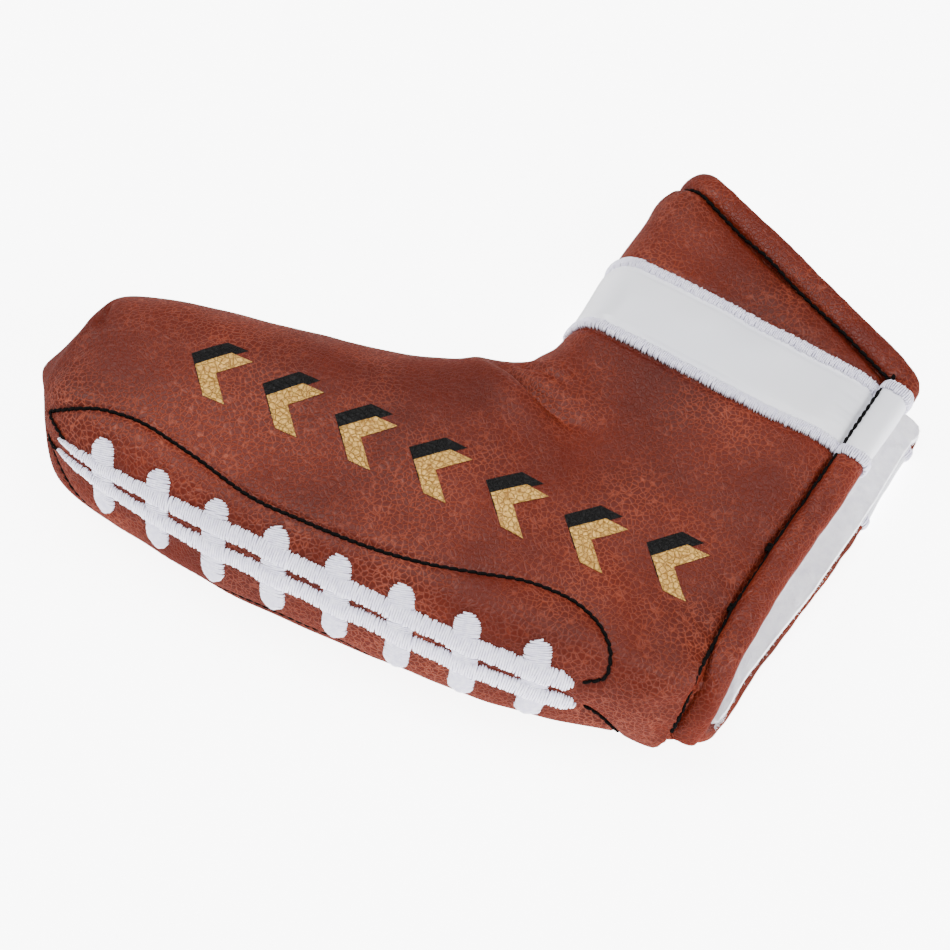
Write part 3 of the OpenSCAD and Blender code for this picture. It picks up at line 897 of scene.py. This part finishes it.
def build_fuzz():
    """Loose fibres of the fleece along the mouth's back edge."""
    count = 4500
    v = RNG.uniform(HEEL + 0.35, LAST - 0.3, count)
    base = skin(v, edge_w(v, 0.2, False, HEEL - 0.5), False, 0.0)
    out = level(across(v)[2])
    base = base + np.array([0.0, 0.0, 1.0]) * RNG.uniform(2.2, 4.4, count)[:, None] - out * 1.0
    way = unit(out + np.array([0.0, 0.0, 0.5]) + RNG.normal(0, 0.6, (count, 3)))
    curl = unit(RNG.normal(0, 1, (count, 3)))
    s = np.linspace(0, 1, 4)
    reach_out = RNG.uniform(0.3, 1.2, count)[:, None, None] * s[None, :, None]
    paths = base[:, None] + way[:, None] * reach_out + curl[:, None] * 0.35 * s[None, :, None] ** 2
    thin = 0.1 * np.array([1.0, 0.9, 0.7, 0.3])
    fuzz = threads("fleece_fibres", paths, np.broadcast_to(curl[:, None], paths.shape),
                   np.broadcast_to(thin, (count, 4)), FLEECE_MAT, around=4)
    follow(fuzz, [])


def build_pockets():
    """The fleece pockets that hold the two magnets inside the mouth."""
    for name, sign in (("magnet_flap", -1), ("magnet_back", 1)):
        co = np.array([v.co for v in frame["nodes"][name].data.vertices]) / MM
        middle = (co.max(0) + co.min(0)) / 2
        flat = co - middle
        axes = np.linalg.svd(flat)[2]
        axes = axes[np.argsort(-np.abs(flat @ axes.T).max(0))]
        up = axes[2] * (sign if axes[2][2] > 0 else -sign)
        long, wide, thick = [np.abs(flat @ a).max() for a in axes]
        u, w = np.meshgrid(np.linspace(-1, 1, 41), np.linspace(-1, 1, 25), indexing="ij")
        rise = (1 - np.abs(u) ** 5) ** 0.5 * (1 - np.abs(w) ** 4) ** 0.5
        top = (middle + axes[0] * (u * (long + 2.5))[..., None]
               + axes[1] * (w * (wide + 2.2))[..., None]
               + up * (lerp(-thick - 1.0, thick + 0.7, rise))[..., None])
        base = top - up * (lerp(0.2, 0.6, rise))[..., None]
        rough = 0.12 * wool(top.reshape(-1, 3), 31)
        top = top + up * rough.reshape(u.shape)[..., None]
        pocket = slab(f"{name}_pocket", top, base, FLEECE_MAT)
        follow(pocket, [], moving=name == "magnet_flap")


# ---------------------------------------------------------------- hems
def soft_square(turn):
    """A roll's section, a little fuller than an ellipse, at angles round it."""
    cos, sin = np.cos(turn), np.sin(turn)
    full = 1 / (np.abs(cos) ** 2.6 + np.abs(sin) ** 2.6) ** (1 / 2.6)
    return cos * full, sin * full


def hem_rings(front, lo, hi, grow):
    """Rings of the rolled hem between two marks along its path."""
    path, n, side, mark = HEMS[front]
    run = length_along(path)
    keep = (mark <= hi + 1e-9) & (mark >= lo - 1e-9)
    a, b = run[keep][0], run[keep][-1]
    at = np.linspace(a, b, max(8, int((b - a) / 0.7)))
    c, n, side = sample(at, run, path), unit(sample(at, run, n)), unit(sample(at, run, side))
    turn = np.linspace(0, 2 * math.pi, 28, endpoint=False)
    heel = at_heel(np.interp(at, run, mark))
    tall = lerp(3.0 if front else 1.1, 3.1 if front else 2.0, heel) + grow
    wide = HEM_W / 2 + 0.25 + grow
    cos, sin = soft_square(turn)
    rings = (c[:, None] + side[:, None] * (wide * cos)[:, None]
             + n[:, None] * (tall[:, None] * sin[None])[..., None])
    flat = rings.reshape(-1, 3)
    push = 0.16 * waves(flat, 15, 21) + 0.07 * waves(flat, 4.5, 22)
    away = unit(flat - np.repeat(c, len(turn), axis=0))
    return (flat + away * push[:, None]).reshape(rings.shape)


def build_hems():
    for front in (True, False):
        parts = ("neck", "flap") if front else ("back",)
        for label, lo, hi, grow, material, slot, count in (
                ("collar_hem", STRIPE_HIGH, HEM_END, 0.0, HEM_MAT, "hem_leather", 2),
                ("stripe_hem", STRIPE_LOW, STRIPE_HIGH, 0.12, STRIPE_MAT, "stripe", 1),
                ("mouth_hem", HEEL, STRIPE_LOW, 0.0, HEM_MAT, "hem_leather", 1)):
            name = f"{label}_{side_of(front)}_roll"
            obj = tube_mesh(name, hem_rings(front, lo, hi, grow), material)
            follow(obj, [f"{label}_{part}" for part in parts[-count:]], moving=front)


# ---------------------------------------------------------------- stripe and its borders
def build_stripe():
    for front in (True, False):
        v = np.linspace(STRIPE_LOW, STRIPE_HIGH - 0.1, 34)
        w = eased(COLS)[None] * (1 - 4.5 / across(v)[3])[:, None]
        vg = v[:, None] * np.ones_like(w)
        outer, inner = off_skin(vg, w, front, -0.5), off_skin(vg, w, front, 0.02)
        obj = slab(f"coated_stripe_{side_of(front)}", outer, inner, STRIPE_MAT)
        follow(obj, ["stripe_neck", "stripe_flap"] if front else ["stripe_back"], moving=front)


def satin_band(name, centre, n, half, radius, pitch, jitter, high):
    """Satin stitches side by side across a line, each an arch from edge to edge."""
    run = length_along(centre)
    count = max(4, int(run[-1] / pitch))
    at = np.linspace(0, run[-1], count)
    c, up = sample(at, run, centre), unit(sample(at, run, n))
    along = unit(np.gradient(c, axis=0))
    side = unit(np.cross(up, along))
    halves = np.interp(at, run, np.broadcast_to(half, len(centre)))
    s = np.array([-1.0, -0.9, -0.55, 0.0, 0.55, 0.9, 1.0])
    arch = np.array([-0.4, 0.45, 0.92, 1.0, 0.92, 0.45, -0.4]) * high
    loose = np.minimum(1.0, halves)
    a = halves + RNG.uniform(-jitter, jitter, count) * loose
    b = halves + RNG.uniform(-jitter, jitter, count) * loose
    ends = np.where(s < 0, a[:, None], b[:, None]) * s
    lean = RNG.normal(0, 0.1, count)[:, None] * s
    paths = (c[:, None] + side[:, None] * ends[..., None] + up[:, None] * arch[None, :, None]
             + along[:, None] * lean[..., None])
    ups = np.broadcast_to(up[:, None], paths.shape)
    thin = radius * np.array([0.55, 1, 1, 1, 1, 1, 0.55])
    return threads(name, paths, ups, np.broadcast_to(thin, paths.shape[:2]), SATIN_MAT)


def bed(name, centre, n, half, low, high):
    """The padded underlay that satin stitches cover, coloured darker than the satin as painted shade in the
    gaps between the stitches.
    """
    along = unit(np.gradient(centre, axis=0))
    side = unit(np.cross(n, along))
    half = np.broadcast_to(half, len(centre))[:, None, None]
    s = np.linspace(-1, 1, 7)[None, :, None]
    rise = lerp(low, high, np.sqrt(np.maximum(0, 1 - s ** 2)))
    flat = centre[:, None] + side[:, None] * s * half
    return slab(name, flat + n[:, None] * rise, flat + n[:, None] * (low - 0.12), UNDERLAY_SHADE_MAT)


def join(name, *objs):
    """Joins pieces of one kind into one named piece."""
    for o in bpy.context.selected_objects:
        o.select_set(False)
    for o in objs:
        o.select_set(True)
    bpy.context.view_layer.objects.active = objs[0]
    bpy.ops.object.join()
    objs[0].name = name
    objs[0].data.name = name
    return objs[0]


def embroidery(name, centre, n, half, underlay, high, stitch):
    """Satin stitches over their underlay, as one piece. The underlay is given by its half
    width and its heights at the edge and middle, the stitch by thread radius, pitch, jitter."""
    return join(name, satin_band(name, centre, n, half, *stitch, high),
                bed(name + "_bed", centre, n, *underlay))


BORDER_HALF = 1.45
BORDER_STITCH, BAR_STITCH, CROSS_STITCH = (0.23, 0.48, 0.22), (0.27, 0.58, 0.26), (0.22, 0.46, 0.12)


def border_line(v, front):
    """Middle of a satin border across the panel and on over the mouth hem."""
    w_end = 1 - (HEM_W + 0.2) / across(np.array([v]))[3][0]
    w = eased_in(70) * w_end
    pts, n = skin_point(np.full(w.shape, v), w, 0.4, front)
    n[0] = unit(level(-across(np.array([v]))[2])[0])
    return pts, n


def build_borders():
    for front in (True, False):
        for label, v in (("lower", STRIPE_LOW), ("upper", STRIPE_HIGH - 0.15)):
            pts, n = border_line(v, front)
            piece = embroidery(f"satin_border_{label}_{side_of(front)}", pts, n, BORDER_HALF,
                               (BORDER_HALF - 0.4, -0.3, 0.8), 0.9, BORDER_STITCH)
            parts = ("neck", "flap") if front else ("back",)
            follow(piece, [f"border_{label}_{part}" for part in parts], moving=front)
            wrap = border_wrap(f"satin_wrap_{label}_{side_of(front)}", round(v), front)
            follow(wrap, [], moving=front)


def border_wrap(name, v, front):
    """The satin border carried on round the rolled hem, as threads along the roll."""
    path, n, side, mark = HEMS[front]
    order = np.argsort(mark)
    c, up, out = [sample([v], mark[order], a[order])[0] for a in (path, n, side)]
    up, out = unit(up), unit(out)
    turn = np.radians(np.linspace(200, -70, 60))
    cos, sin = soft_square(turn)
    wide, tall = HEM_W / 2 + 0.5, 3.3 if front else 1.5
    centre = c + out * (wide * cos)[:, None] + up * (tall * sin)[:, None]
    normal = unit(out * np.cos(turn)[:, None] + up * np.sin(turn)[:, None])
    return embroidery(name, centre, normal, BORDER_HALF, (BORDER_HALF - 0.4, -0.3, 0.25), 0.5,
                      BORDER_STITCH)


# ---------------------------------------------------------------- laces
def bar_shape(x):
    """Distance of a lace bar's middle from the laces' middle line, and its half width."""
    wide = np.interp(x, *BAR_W)
    end = bulge(np.minimum((x - LACE_X[0]) / 9, (LACE_X[1] - x) / 3.5))
    return (BAR_GAP + wide) / 2, wide / 2 * end


def build_laces():
    for label, side in (("front", 1), ("back", -1)):
        x = np.linspace(LACE_X[0] + 0.15, LACE_X[1] - 0.15, 220)
        mid, half = bar_shape(x)
        middle = np.interp(x, *BAR_MIDDLE) + side * mid
        pts, n = sole_point(v_of(x), LACE_ANGLE + ARC_DEG * middle)
        pts = pts + n * (0.3 * cross_cover(x))[:, None]
        piece = embroidery(f"lace_bar_{label}_threads", pts, n, half,
                           (np.maximum(half - 0.5, 0.1), -0.1, 0.5), 0.62, BAR_STITCH)
        follow(piece, [f"lace_bar_{label}"])
    for i in range(CROSS_COUNT):
        x0 = CROSS_X + CROSS_PITCH * i
        long = np.interp(x0, *CROSS_REACH)
        y = np.linspace(-long, long, 90)
        middle = LACE_ANGLE + ARC_DEG * np.interp(x0, *MIDDLE)
        pts, n = sole_point(v_of(x0 + np.interp(x0, *CROSS_LEAN) * y), middle + ARC_DEG * y)
        width = CROSS_W / 2 * bulge((long - np.abs(y) + 0.15) / (CROSS_W / 2))
        piece = embroidery(f"lace_cross_{i + 1}_threads", pts, n, width,
                           (np.maximum(width - 0.5, 0.1), -0.1, 0.5), 0.6, CROSS_STITCH)
        follow(piece, [f"lace_cross_{i + 1}"])


def cross_cover(x):
    """1 where a bar passes over a crossbar, 0 between them."""
    crosses = CROSS_X + CROSS_PITCH * np.arange(CROSS_COUNT)
    gap = np.min(np.abs(x[:, None] - crosses[None]), axis=1)
    return 1 - smooth((gap - CROSS_W / 2 + 0.6) / 1.6)


# ---------------------------------------------------------------- black stitching
# Stations of the two bartack knots
KNOTS = (8.0, 8.7)


def running_stitches(name, centre, n, pitch, radius, lift):
    """Stitches end to end along a line, each a short twisted capsule."""
    run = length_along(centre)
    count = max(2, int(round(run[-1] / pitch)))
    s = np.array([-0.54, -0.47, -0.25, 0.0, 0.25, 0.47, 0.54])
    rise = np.array([-0.45, -0.05, 0.2, 0.28, 0.2, -0.05, -0.45])
    thick = radius * np.array([0.35, 0.8, 1.0, 1.0, 1.0, 0.8, 0.35])
    at = (np.arange(count)[:, None] + 0.5 + s[None]) * run[-1] / count
    flat = np.clip(at.ravel(), 0, run[-1])
    c, up = [sample(flat, run, a).reshape(count, len(s), 3) for a in (centre, n)]
    up = unit(up)
    side = unit(np.cross(up, unit(np.gradient(c, axis=1))))
    paths = c + up * (rise + lift)[None, :, None] + side * (0.32 * s)[None, :, None]
    return threads(name, paths, up, np.broadcast_to(thick, (count, len(s))), BLACK_MAT,
                   around=8, flatten=0.9)


def build_stitches():
    for label, side in (("front", 1), ("back", -1)):
        v, angle = outline_points(side)
        pts, n = sole_point(v, angle)
        back, n2 = sole_point(*outline_return(side))
        obj = join(f"football_outline_{label}",
                   running_stitches("arc", pts, n, 2.1, 0.42, 0.1),
                   running_stitches("return", back, n2, 2.1, 0.36, 0.1))
        follow(obj, [f"football_stitch_{label}"])
    for front in (True, False):
        line, n, mark = hem_stitch_line(front)
        name = f"hem_stitches_{side_of(front)}"
        obj = running_stitches(name, line, n, 2.4, 0.44, 0.35)
        if front:
            obj = join(name, obj, *[knot(line, n, mark, v) for v in KNOTS])
        follow(obj, [], moving=front)


def knot(line, n, mark, v):
    """A bartack's knot of thread on the hem's stitch line."""
    order = np.argsort(mark)
    c, up = [sample([v], mark[order], a[order])[0] for a in (line, n)]
    along = unit(line[np.argmin(np.abs(mark - v)) + 1] - c)
    side = np.cross(up, along)
    shift = np.array([-0.7, 0.0, 0.7, 0.2])
    s = np.linspace(-1.3, 1.3, 6)
    paths = (c + along * shift[:, None, None] + side * s[None, :, None]
             + up * (0.5 - 0.35 * s[None, :, None] ** 2))
    return threads("knot", paths, np.broadcast_to(up, paths.shape),
                   np.full(paths.shape[:2], 0.4), BLACK_MAT)


def surface_of(*names):
    """A search tree over the finished meshes of some pieces, in millimetres."""
    points, faces = [], []
    for name in names:
        mesh = bpy.data.objects[name].data
        faces += [[len(points) + i for i in f.vertices] for f in mesh.polygons]
        points += [v.co / MM for v in mesh.vertices]
    return BVHTree.FromPolygons(points, faces)


def hem_stitch_line(front):
    """The hem's stitch line, laid on whatever leather is outermost there."""
    label = side_of(front)
    tree = surface_of(f"leather_{label}", f"coated_stripe_{label}", f"collar_hem_{label}_roll",
                      f"stripe_hem_{label}_roll", f"mouth_hem_{label}_roll")
    _, n, _, mark = HEMS[front]
    line = stitch_line(front)
    laid = []
    for point, up in zip(line, n):
        start = Vector(point + up * 9)
        hit = tree.ray_cast(start, Vector(-up), 16)[0]
        laid.append(point if hit is None else np.array(hit))
    laid = np.array(laid)
    for _ in range(3):
        laid = evened(laid)
    end = -2 - int(np.sum(mark < HEEL + (0.0 if front else 0.3)))
    return laid[2:end], n[2:end], mark[2:end]


# ---------------------------------------------------------------- foil motif
CHEVRON_X, CHEVRON_PITCH, CHEVRON_Y, CHEVRON_LIFT, CHEVRON_COUNT = -132.0, 18.7, 23.5, 6.5, 7
CHEVRON_SIZE, CHEVRON_ARM = 13.0, 5.5
SHADOW_STEP = np.array([-2.4, 2.4])


def chevron(i, offset, h, material):
    """One chevron of the row, laid on the leather."""
    half = CHEVRON_SIZE / 2
    t = i / (CHEVRON_COUNT - 1)
    place = np.array([CHEVRON_X + CHEVRON_PITCH * i, CHEVRON_Y + CHEVRON_LIFT * t ** 4]) + offset
    y = np.linspace(-half, half, 41)
    tip = half * 0.9 * (1 - np.abs(y) / half)
    u = np.linspace(0, CHEVRON_ARM, 14)
    gx = place[0] + u[None] - tip[:, None] - CHEVRON_ARM / 2 + half / 2
    gy = place[1] + y[:, None] * np.ones_like(gx)
    v, w = station_of(gx, gy)
    outer, _ = skin_point(v, w, h, True)
    inner, _ = skin_point(v, w, h - 0.06, True)
    return slab(f"chevron_{i}", outer, inner, material)


def build_motif():
    for name, step, h, material, slot, node in (
            ("chevron_shadows", SHADOW_STEP, 0.09, PRINT_MAT, "black_print", "foil_shadows"),
            ("gold_chevrons", 0.0, 0.18, FOIL_MAT, "gold_foil", "foil_chevrons")):
        row = [chevron(i, step, h, material) for i in range(CHEVRON_COUNT)]
        follow(join(name, *row), [node], moving=True)


# ---------------------------------------------------------------- set, camera and light
VIEW_AZIMUTH, VIEW_ELEVATION, VIEW_DISTANCE = 27.08, 60.0, 0.55
VIEW_TARGET = np.array([0.0073, -0.0234, 0.015])
LENS = 89.6
LIGHT_AIM = np.array([0.0, 0.0, 0.015])


def build_camera():
    azimuth, elevation = math.radians(VIEW_AZIMUTH), math.radians(VIEW_ELEVATION)
    back = np.array([math.sin(azimuth) * math.cos(elevation), -math.cos(azimuth) * math.cos(elevation),
                     math.sin(elevation)])
    data = bpy.data.cameras.new("camera")
    data.lens = LENS
    data.sensor_width = 36.0
    camera = bpy.data.objects.new("camera", data)
    camera.location = VIEW_TARGET + back * VIEW_DISTANCE
    camera.rotation_euler = (math.pi / 2 - elevation, 0.0, azimuth)
    bpy.context.scene.collection.objects.link(camera)
    bpy.context.scene.camera = camera


def build_floor():
    half = 20.0
    corners = [(-half, -half, 0), (half, -half, 0), (half, half, 0), (-half, half, 0)]
    mesh = bpy.data.meshes.new("floor")
    mesh.from_pydata(corners, [], [(0, 1, 2, 3)])
    floor = bpy.data.objects.new("floor", mesh)
    n = Nodes("white_sweep")
    white = n.ramp(n.noise(3.0), [(0.0, (0.93, 0.93, 0.93)), (1.0, (0.95, 0.95, 0.95))])
    n.set(Base_Color=white, Roughness=0.7, Emission_Color=WHITE, Emission_Strength=7.0)
    mesh.materials.append(n.material)
    bpy.context.scene.collection.objects.link(floor)
    floor.visible_glossy = False


def area_light(name, place, size, power):
    data = bpy.data.lights.new(name, "AREA")
    data.energy = power
    data.size = size
    light = bpy.data.objects.new(name, data)
    light.location = place
    way = LIGHT_AIM - np.array(place)
    flat = math.hypot(way[0], way[1])
    light.rotation_euler = (math.atan2(flat, -way[2]), 0.0, math.atan2(way[1], way[0]) - math.pi / 2)
    bpy.context.scene.collection.objects.link(light)


def build_light():
    world = bpy.data.worlds.new("studio")
    world.use_nodes = True
    background = world.node_tree.nodes["Background"]
    background.inputs["Color"].default_value = WHITE
    background.inputs["Strength"].default_value = 0.36
    bpy.context.scene.world = world
    area_light("key", (-0.55, -0.1, 0.85), 0.5, 11.0)
    area_light("fill", (0.75, -0.1, 0.5), 0.6, 9.0)
    area_light("top", (0.0, 0.4, 1.0), 0.7, 7.0)


build_camera()
build_floor()
build_light()
build_panels()
build_fuzz()
build_pockets()
build_hems()
build_stripe()
build_borders()
build_laces()
build_stitches()
build_motif()
for node in ("magnet_flap", "magnet_back"):
    frame["nodes"][node].data.materials.clear()
    frame["nodes"][node].data.materials.append(METAL_MAT)
